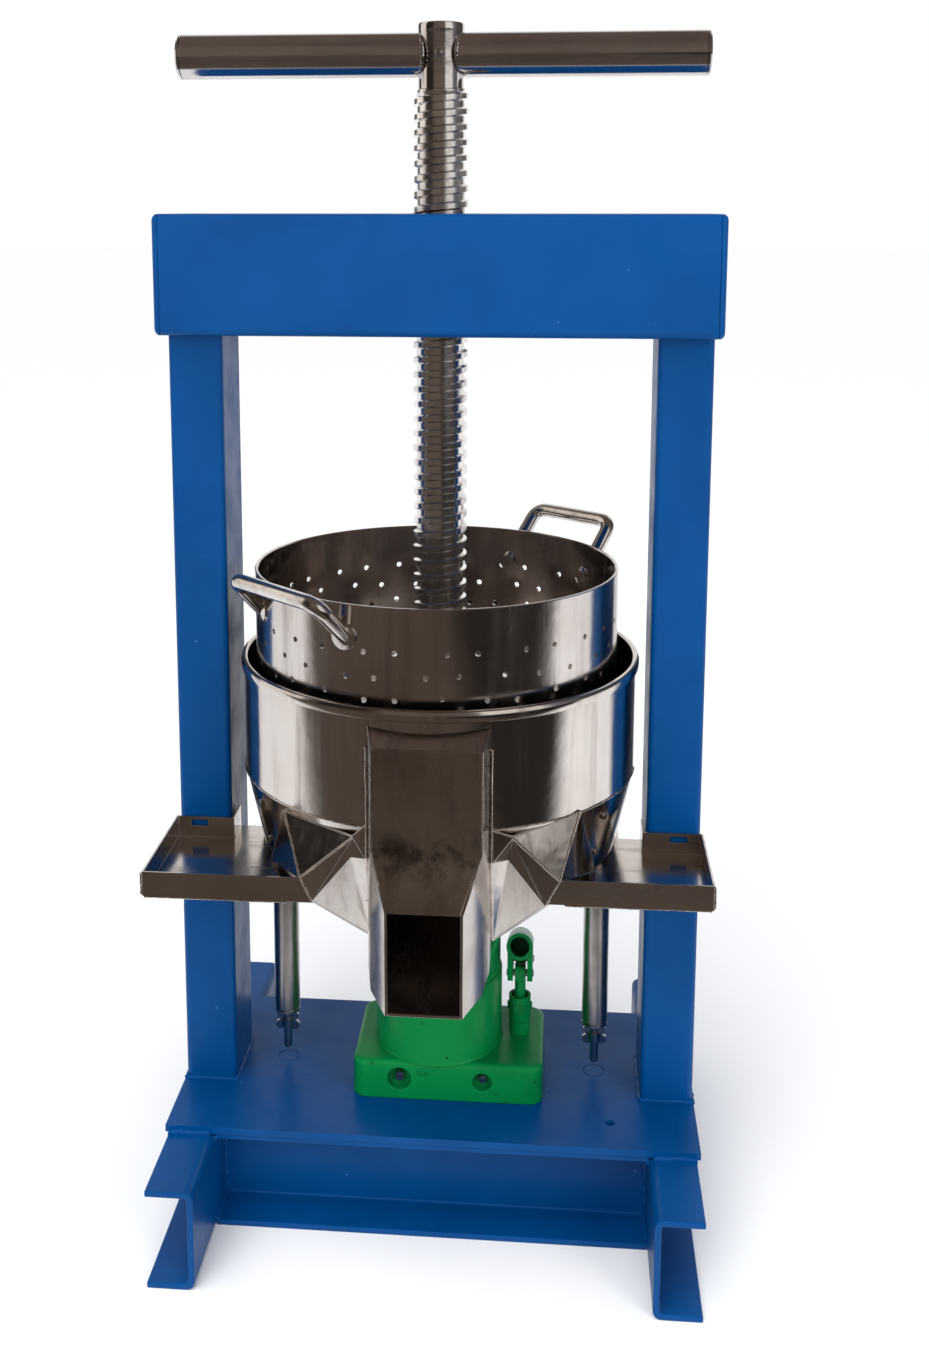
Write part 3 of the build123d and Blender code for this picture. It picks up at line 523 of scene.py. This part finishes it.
def lead_screw():
    turns = (THREAD_HIGH - THREAD_LOW) / PITCH
    stops = 72
    flank, crest, ease = 0.0006, 0.0050, 0.0005
    outline = [(ROOT_R, 0.0), (ROOT_R, 0.0028), (ROOT_R + 0.0004, 0.0032), (SCREW_R - ease, 0.0032 + flank),
               (SCREW_R, 0.0032 + flank + ease), (SCREW_R, 0.0032 + flank + crest - ease),
               (SCREW_R - ease, 0.0032 + flank + crest), (ROOT_R + 0.0004, 0.0032 + 2 * flank + crest),
               (ROOT_R, 0.0036 + 2 * flank + crest), (ROOT_R, PITCH)]
    bm = bmesh.new()
    ring = [bm.verts.new((radius, 0, THREAD_LOW - 0.006 + rise)) for radius, rise in outline]
    edges = [bm.edges.new(pair) for pair in zip(ring, ring[1:])]
    bmesh.ops.spin(bm, geom=ring + edges, cent=(0, 0, 0), axis=(0, 0, 1), angle=2 * math.pi * turns,
                   steps=int(stops * turns), dvec=(0, 0, PITCH / stops), use_merge=False)
    bmesh.ops.remove_doubles(bm, verts=bm.verts, dist=0.00002)
    bmesh.ops.recalc_face_normals(bm, faces=bm.faces)
    shaft = lathe_mesh([(0, 0.4805), (ROOT_R - 0.0008, 0.4805), (ROOT_R, 0.4815), (ROOT_R, 0.4900),
                        (ROOT_R - 0.0003, 0.4905), (ROOT_R - 0.0003, 0.9205), (ROOT_R, 0.9210),
                        (ROOT_R, 0.9262), (0, 0.9262)], 96, False)
    spare = bpy.data.meshes.new("shaft")
    shaft.to_mesh(spare)
    shaft.free()
    bm.from_mesh(spare)
    bpy.data.meshes.remove(spare)
    bm.transform(Matrix.Translation((AXIS_X, AXIS_Y, 0)))
    own(piece_from("screw_thread", bm, 32), SCREW_STEEL, "lead_screw")


def t_bar():
    bar = middle("t_bar_right")
    reach = high("t_bar_end_caps").x
    radius = (high("t_bar_right").z - low("t_bar_right").z) / 2
    for side, name in ((1, "t_bar_right"), (-1, "t_bar_left")):
        aim = Vector((side, 0, 0))
        outline = [(radius - 0.0025, 0.0132), (radius, 0.0132), (radius, reach - 0.0034),
                   (radius - 0.0003, reach - 0.0031), (radius - 0.0025, reach - 0.0031)]
        turned(name + "_tube", outline, BAR_STEEL, [name], (0, AXIS_Y, bar.z), 128, True, aim)
    caps = bmesh.new()
    for side in (1, -1):
        outline = [(0, reach - 0.003), (radius - 0.0004, reach - 0.0028), (radius + 0.0001, reach - 0.0024),
                   (radius + 0.0001, reach - 0.0012), (radius - 0.0012, reach), (0, reach)]
        half = lathe_mesh(outline, 128, False)
        turn = Vector((0, 0, 1)).rotation_difference(Vector((side, 0, 0))).to_matrix().to_4x4()
        half.transform(Matrix.Translation((0, AXIS_Y, bar.z)) @ turn)
        spare = bpy.data.meshes.new("cap")
        half.to_mesh(spare)
        half.free()
        caps.from_mesh(spare)
        bpy.data.meshes.remove(spare)
    own(piece_from("t_bar_caps", caps), BAR_STEEL, "t_bar_end_caps")
    a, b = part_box("handle_neck")
    r = (b.x - a.x) / 2
    neck = [(0, a.z), (r - 0.001, a.z), (r, a.z + 0.001), (r, b.z - 0.009), (r + 0.0004, b.z - 0.006),
            (r + 0.0006, b.z - 0.002), (r, b.z - 0.0006), (r - 0.001, b.z), (0, b.z)]
    turned("handle_neck_body", neck, BAR_STEEL, ["handle_neck"], (AXIS_X, AXIS_Y, 0), 96)
    pin = middle("neck_rivet")
    y = low("neck_rivet").y
    deep = high("neck_rivet").y - y
    turned("neck_rivet_head", [(0, 0), (0.0022, 0.0002), (0.0033, 0.0009), (0.0036, 0.0016), (0.0036, deep),
                               (0, deep)],
           PIN_STEEL, ["neck_rivet"], (pin.x, y, pin.z), 32, aim=Vector((0, 1, 0)))
    for side, name in ((1, "right"), (-1, "left")):
        route = []
        for i in range(49):
            turn = 2 * math.pi * i / 48
            lean = 0.0132 + 0.0030 * math.sin(turn) ** 2
            route.append((side * lean, AXIS_Y + (radius - 0.0014) * math.cos(turn),
                          bar.z + (radius - 0.0014) * math.sin(turn)))
        weld("t_bar_fillet_" + name, route, 0.0019, BAR_STEEL, "handle_neck", 0.0020, 0.05, side)


# ---------------------------------------------------------------- press head and basket
def press_head():
    for node, width in (("press_plate", 0.0006), ("press_boss", 0.0012), ("press_ribs", 0.0006),
                        ("press_grub_screws", 0.0003)):
        dressed(node, SCREW_STEEL, width)


def on_bearing(node, angle, out, across, z):
    """Point at a bearing round a node's own upright axis."""
    centre = middle(node)
    a = math.radians(angle)
    return Vector((centre.x + out * math.cos(a) - across * math.sin(a),
                   centre.y + out * math.sin(a) + across * math.cos(a), z))


# bearing of the bail's middle, half its width, its reach from the basket's axis, its top and its feet
BAILS = {"basket_handle_rear": (51, 0.043, 0.182, 0.557, 0.515),
         "basket_handle_front": (226.9, 0.0518, 0.1674, 0.547, 0.5183)}


def basket():
    centre = middle("basket_shell")
    round_shaded("basket_shell", BASKET_SHEET, centre.x)
    dressed("basket_floor", BASKET_SHEET, 0.0003)
    a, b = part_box("basket_shell")
    r = (b.x - a.x) / 2
    lip = [(r - 0.0026, b.z - 0.0016), (r - 0.0026, b.z - 0.0004), (r - 0.0018, b.z + 0.0004),
           (r - 0.0006, b.z + 0.0004), (r + 0.0003, b.z - 0.0004), (r + 0.0003, b.z - 0.0016)]
    turned("basket_lip", lip, BASKET_SHEET, [], (centre.x, centre.y, 0), 192, True,
           body="basket", slot=SLOT_OF["basket_shell"])
    rod = 0.0062
    for node, (bearing, half, reach, top, foot) in BAILS.items():
        start = math.sqrt(r * r - half * half) - 0.001
        route = [on_bearing("basket_shell", bearing, start, -half, foot),
                 on_bearing("basket_shell", bearing, reach, -half, top),
                 on_bearing("basket_shell", bearing, reach, half, top),
                 on_bearing("basket_shell", bearing, start, half, foot)]
        bar_run(node + "_bail", route, rod, 0.013, ROD_STEEL, [node], sides=32)
        for side, label in ((-1, "_pad_a"), (1, "_pad_b")):
            spread = side * math.degrees(math.asin(half / r))
            aim = (on_bearing("basket_shell", bearing + spread, 1, 0, 0)
                   - on_bearing("basket_shell", 0, 0, 0, 0))
            aim.z = 0
            place = on_bearing("basket_shell", bearing + spread, r - 0.0016, 0, foot)
            pad = [(0, 0), (0.0104, 0), (0.0110, 0.0012), (0.0104, 0.0026), (0.0076, 0.0036),
                   (0.0066, 0.0042), (0, 0.0044)]
            turned(node + label, pad, ROD_STEEL, [], place, 40, aim=aim.normalized(), body="basket",
                   slot=SLOT_OF[node])
    dressed("basket_handle_rivets", ROD_STEEL, 0.0006)


# ---------------------------------------------------------------- collector
def vessel():
    a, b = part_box("vessel_shell")
    r = (b.x - a.x) / 2
    slope = (0.163 - 0.149) / (0.376 - 0.312)
    round_shaded("vessel_shell", VESSEL_SHEET, AXIS_X)
    round_shaded("vessel_cone", VESSEL_SHEET, AXIS_X, slope)
    dressed("vessel_floor", PAN_SHEET, 0.0002)
    seam = low("vessel_shell").z
    for label, start, stop in (("left", 185, 252), ("right", 288, 355)):
        route = []
        for i in range(40):
            turn = math.radians(start + (stop - start) * i / 39)
            reach = r + 0.0002
            route.append((AXIS_X + reach * math.cos(turn), AXIS_Y + reach * math.sin(turn), seam))
        weld("vessel_seam_" + label, route, 0.0008, SEAM_STEEL, "vessel_shell", 0.0024, 0.4, start)
    dressed("drain_rack", PAN_SHEET, 0.0005)
    dressed("platform_bar", PAN_SHEET, 0.0010)
    dressed("vessel_lap_rivets", ROD_STEEL, 0.0006)
    top = b.z
    hem = [(r - 0.0024, top - 0.007), (r, top - 0.0078), (r + 0.0012, top - 0.0086),
           (r + 0.0023, top - 0.0078), (r + 0.0027, top - 0.0055), (r + 0.0027, top - 0.0022),
           (r + 0.0018, top - 0.0004),
           (r + 0.0004, top + 0.0003), (r - 0.0012, top + 0.0003), (r - 0.0024, top - 0.0006)]
    turned("vessel_hem", hem, VESSEL_SHEET, ["vessel_rim"], (AXIS_X, AXIS_Y, 0), 192, True)


def wings():
    for node in ("funnel_wing_left", "funnel_wing_right"):
        dressed(node, VESSEL_SHEET, 0.0004, segments=2)
    folds = {"funnel_wing_left": ((-0.111, -0.121, 0.371), (-0.053, -0.156, 0.368), (-0.095, -0.1495, 0.331),
                                  (-0.086, -0.150, 0.313)),
             "funnel_wing_right": ((0.117, -0.115, 0.377), (0.066, -0.151, 0.370), (0.102, -0.139, 0.331),
                                   (0.091, -0.142, 0.313))}
    for node, spots in folds.items():
        top, inner, corner, lower = [Vector((x, y + AXIS_Y - 0.0012, z)) for x, y, z in spots]
        weld(node + "_top_bead", [top, corner], 0.0010, SEAM_STEEL, node, 0.0013, 0.4, 40)
        weld(node + "_fold_bead", [inner, corner, lower], 0.0008, SEAM_STEEL, node, 0.0013, 0.4, 42)


def pans():
    for node, side in (("pan_left", -1), ("pan_right", 1)):
        dressed(node, PAN_SHEET, 0.0005, segments=2)
        a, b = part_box(node)
        outer = a.x if side < 0 else b.x
        weld(node + "_corner_bead", [(outer, a.y, a.z + 0.002), (outer, a.y, b.z - 0.001)], 0.0011,
             SEAM_STEEL, node, 0.0012, 0.4, side + 50)
        weld(node + "_floor_bead", [(outer - side * 0.002, a.y, a.z), (side * 0.106, a.y, a.z)], 0.0009,
             SEAM_STEEL, node, 0.0014, 0.4, side + 52)


def heat_sheet(name, bend_z):
    """Dull chute sheet with brown heat stain and soot below its bend."""
    material = steel(name, (0.52, 0.46, 0.41, 1), (0.30, 0.24, 0.20, 1), 0.24, (1, 0.2, 0.1), 0.0010, 13.0,
                     0.00002, 0.8)
    tree = material.node_tree
    bsdf = tree.nodes["Principled BSDF"]
    base = bsdf.inputs["Base Color"].links[0].from_socket
    place = put(tree, "ShaderNodeTexCoord").outputs["Object"]
    split = put(tree, "ShaderNodeSeparateXYZ")
    tree.links.new(place, split.inputs[0])
    near = window(tree, sum_of(tree, "ABSOLUTE", sum_of(tree, "SUBTRACT", split.outputs["Z"], bend_z), 0.0),
                  0.003, 0.026, 1.0, 0.0)
    cloud = window(tree, noise_at(tree, place, 55.0, 4.0, 0.7), 0.42, 0.66)
    soot = sum_of(tree, "MULTIPLY", sum_of(tree, "MULTIPLY", near, cloud), 0.75)
    tree.links.new(over(tree, base, (0.040, 0.030, 0.024, 1), soot), bsdf.inputs["Base Color"])
    return material


def chute():
    bend = low("chute_front").z + (high("chute_front").z - low("chute_front").z) * 0.31
    stained = heat_sheet("chute_front_sheet", bend)
    dressed("chute_front", stained, 0.0004, segments=2)
    for node in ("chute_side_left", "chute_side_right", "chute_hood", "chute_floor"):
        dressed(node, CHUTE_SHEET, 0.0004, segments=2)
    y_panel, y_bend, y_knee = AXIS_Y - 0.180, AXIS_Y - 0.158, AXIS_Y - 0.128
    y_mouth = low("chute_front").y + 0.0012
    centre, panel, mouth, wing = 0.004, 0.0410, 0.0280, 0.0455 + 0.0012
    for side, node in ((-1, "chute_side_left"), (1, "chute_side_right")):
        edge = [(centre + side * panel, y_panel, 0.446), (centre + side * panel, y_panel, 0.366),
                (centre + side * mouth, y_mouth, 0.330)]
        weld(node + "_front_bead", edge, 0.0007, SEAM_STEEL, node, 0.0020, 0.10, side + 20)
        x_wing = centre + side * wing
        root = [(x_wing, y_bend, 0.440), (x_wing, y_bend, 0.352), (x_wing, y_knee, 0.277)]
        weld(node + "_wing_bead", root, 0.0011, SEAM_STEEL, node, 0.0018, 0.25, side + 30)


def legs():
    for node in ("leg_tube_right", "leg_tube_left"):
        a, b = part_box(node)
        r = (b.x - a.x) / 2
        centre = (a + b) / 2
        outline = [(r - 0.002, a.z), (r - 0.0006, a.z), (r, a.z + 0.0008), (r, b.z), (r - 0.002, b.z)]
        turned(node + "_pipe", outline, LEG_STEEL, [node], (centre.x, centre.y, 0), 64, True)
    dressed("leg_pins", PIN_STEEL, 0.0004)
    dressed("leg_wing_nuts", PIN_STEEL, 0.0008)


# ---------------------------------------------------------------- bottle jack
def worn_green(name):
    """Jack enamel rubbed dark in broad scuffs, with dark chips."""
    material = enamel(name, (0.001, 0.190, 0.044, 1), (0.0005, 0.110, 0.028, 1), (0.006, 0.03, 0.012, 1),
                      0.30, 0.16, 0.8)
    tree = material.node_tree
    bsdf = tree.nodes["Principled BSDF"]
    base = bsdf.inputs["Base Color"].links[0].from_socket
    rubs = use(tree, POLISH_LINES, Stretch=(1.0, 0.35, 1.0), Scale=42.0)
    dirt = sum_of(tree, "MULTIPLY", window(tree, rubs.outputs["Mask"], 0.55, 1.0), 0.7)
    tree.links.new(over(tree, base, (0.004, 0.045, 0.016, 1), dirt), bsdf.inputs["Base Color"])
    return material


def jack():
    dressed("jack_base", worn_green("jack_base_enamel"), 0.0009)
    a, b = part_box("jack_reservoir")
    r = (b.x - a.x) / 2
    ledge = 0.187
    tank = [(0.0221, a.z), (r + 0.0012, a.z), (r + 0.0004, a.z + 0.0016), (r, a.z + 0.0030),
            (r, ledge - 0.0012), (r - 0.0004, ledge - 0.0003), (r - 0.0014, ledge),
            (r - 0.0015, b.z - 0.001), (r - 0.0024, b.z),
            (0.0221, b.z)]
    turned("jack_reservoir_tube", tank, JACK_GREEN, ["jack_reservoir"], (AXIS_X, AXIS_Y, 0), 160, True)
    dressed("jack_top_cap", JACK_GREEN, 0.0010)
    dressed("jack_ram", BAR_STEEL, 0.0006)
    dressed("ram_saddle", PIN_STEEL, 0.0008)
    dressed("pump_body", JACK_GREEN, 0.0008)
    for node in ("pump_plunger", "fulcrum_lug", "handle_socket", "jack_carry_hoop"):
        dressed(node, JACK_GREEN, 0.0006)
    for node in ("plunger_pin", "fulcrum_pin", "release_valve", "jack_base_plug"):
        dressed(node, PIN_STEEL, 0.0005)


frame_members()
frame_welds()
lead_screw()
t_bar()
press_head()
basket()
vessel()
wings()
pans()
chute()
legs()
jack()


# ---------------------------------------------------------------- studio
def studio_world():
    """White behind, warm dark room in front and overhead, with soft uprights for the polished sheet."""
    world = bpy.data.worlds.new("studio")
    bpy.context.scene.world = world
    world.use_nodes = True
    tree = world.node_tree
    back = tree.nodes["Background"]
    towards = put(tree, "ShaderNodeTexCoord").outputs["Generated"]
    split = put(tree, "ShaderNodeSeparateXYZ")
    tree.links.new(towards, split.inputs[0])
    ahead = sum_of(tree, "MULTIPLY", split.outputs["Y"], -1.0)
    bearing = sum_of(tree, "ARCTAN2", split.outputs["X"], ahead)
    turn = sum_of(tree, "ADD", sum_of(tree, "DIVIDE", bearing, 2 * math.pi), 0.5)
    ramp = put(tree, "ShaderNodeValToRGB")
    brown = (0.165, 0.135, 0.112)
    stops = ((-180, (1.0, 1.0, 1.0)), (-141, (1.0, 1.0, 1.0)), (-136, (0.05, 0.042, 0.036)),
             (-116, (0.07, 0.056, 0.046)), (-110, (1.1, 1.05, 1.0)), (-78, (0.95, 0.88, 0.82)),
             (-72, (0.022, 0.018, 0.015)), (-38, (0.030, 0.024, 0.020)), (-28, (0.15, 0.122, 0.10)),
             (16, brown), (24, (0.16, 0.14, 0.125)), (29, (1.0, 0.97, 0.94)), (62, (0.95, 0.93, 0.92)),
             (68, (0.26, 0.25, 0.26)), (90, (0.10, 0.09, 0.088)), (136, (0.06, 0.05, 0.045)),
             (141, (1.0, 1.0, 1.0)))
    line = ramp.color_ramp
    for index, (degrees, colour) in enumerate(stops):
        spot = degrees / 360 + 0.5
        stop = line.elements[index] if index < 2 else line.elements.new(spot)
        stop.position = spot
        stop.color = (*colour, 1)
    tree.links.new(turn, ramp.inputs["Fac"])
    overhead = window(tree, split.outputs["Z"], 0.55, 0.85)
    dome = over(tree, ramp.outputs["Color"], (0.13, 0.10, 0.085, 1), overhead)
    rays = put(tree, "ShaderNodeLightPath").outputs
    soft = over(tree, dome, (0.62, 0.64, 0.68, 1), rays["Is Diffuse Ray"])
    tree.links.new(over(tree, soft, (1, 1, 1, 1), rays["Is Camera Ray"]), back.inputs["Color"])
    back.inputs["Strength"].default_value = 1.0


def lamp(name, kind, place, target, energy, size, colour=(1, 1, 1), glossy=True):
    data = bpy.data.lights.new(name, kind)
    data.energy = energy
    data.color = colour
    if kind == "AREA":
        data.shape = "RECTANGLE"
        data.size, data.size_y = size
    else:
        data.angle = size
    holder = bpy.data.objects.new(name, data)
    holder.location = place
    holder.rotation_euler = (Vector(target) - Vector(place)).to_track_quat("-Z", "Y").to_euler()
    holder.visible_glossy = glossy
    bpy.context.scene.collection.objects.link(holder)


def studio():
    studio_world()
    lamp("overhead_sun", "SUN", (-0.6, -1.2, 3.0), (0, 0, 0.3), 1.9, math.radians(50), glossy=False)
    lamp("front_fill", "AREA", (-0.7, -2.4, 1.5), (0, 0, 0.5), 26, (1.6, 1.6), glossy=False)
    lamp("right_fill", "AREA", (1.6, -1.8, 1.0), (0.1, 0, 0.5), 22, (1.0, 1.4), glossy=False)
    bm = bmesh.new()
    bmesh.ops.create_grid(bm, x_segments=1, y_segments=1, size=30)
    mesh = bpy.data.meshes.new("studio_floor")
    bm.to_mesh(mesh)
    bm.free()
    floor = bpy.data.objects.new("studio_floor", mesh)
    bpy.context.scene.collection.objects.link(floor)
    material, tree, bsdf = new_material("studio_floor_paper")
    bsdf.inputs["Base Color"].default_value = (0.86, 0.86, 0.86, 1)
    bsdf.inputs["Roughness"].default_value = 0.9
    bsdf.inputs["Specular IOR Level"].default_value = 0.1
    split = put(tree, "ShaderNodeSeparateXYZ")
    tree.links.new(put(tree, "ShaderNodeTexCoord").outputs["Object"], split.inputs[0])
    dim = put(tree, "ShaderNodeEmission")
    sideways = window(tree, split.outputs["X"], 0.30, 0.75)
    brown = put(tree, "ShaderNodeRGB")
    brown.outputs[0].default_value = (0.105, 0.083, 0.068, 1)
    tree.links.new(over(tree, brown.outputs[0], (0.030, 0.025, 0.022, 1), sideways), dim.inputs["Color"])
    ahead = window(tree, split.outputs["Y"], -0.50, -0.20, 1.0, 0.0)
    seen_in_metal = put(tree, "ShaderNodeLightPath").outputs["Is Glossy Ray"]
    blend = put(tree, "ShaderNodeMixShader")
    tree.links.new(sum_of(tree, "MULTIPLY", ahead, seen_in_metal), blend.inputs["Fac"])
    tree.links.new(bsdf.outputs[0], blend.inputs[1])
    tree.links.new(dim.outputs[0], blend.inputs[2])
    tree.links.new(blend.outputs[0], tree.nodes["Material Output"].inputs["Surface"])
    mesh.materials.append(material)


def camera():
    data = bpy.data.cameras.new("camera")
    data.lens = 40.33
    data.sensor_width = 36.0
    data.shift_x, data.shift_y = 0.0308, -0.1655
    data.clip_start, data.clip_end = 0.05, 100
    holder = bpy.data.objects.new("camera", data)
    holder.location = (0.0944, -1.2108, 0.8342)
    holder.rotation_euler = (math.pi / 2 - 0.15918, 0, 0.08877)
    bpy.context.scene.collection.objects.link(holder)
    bpy.context.scene.camera = holder


studio()
camera()
bpy.context.scene.view_settings.view_transform = "Standard"
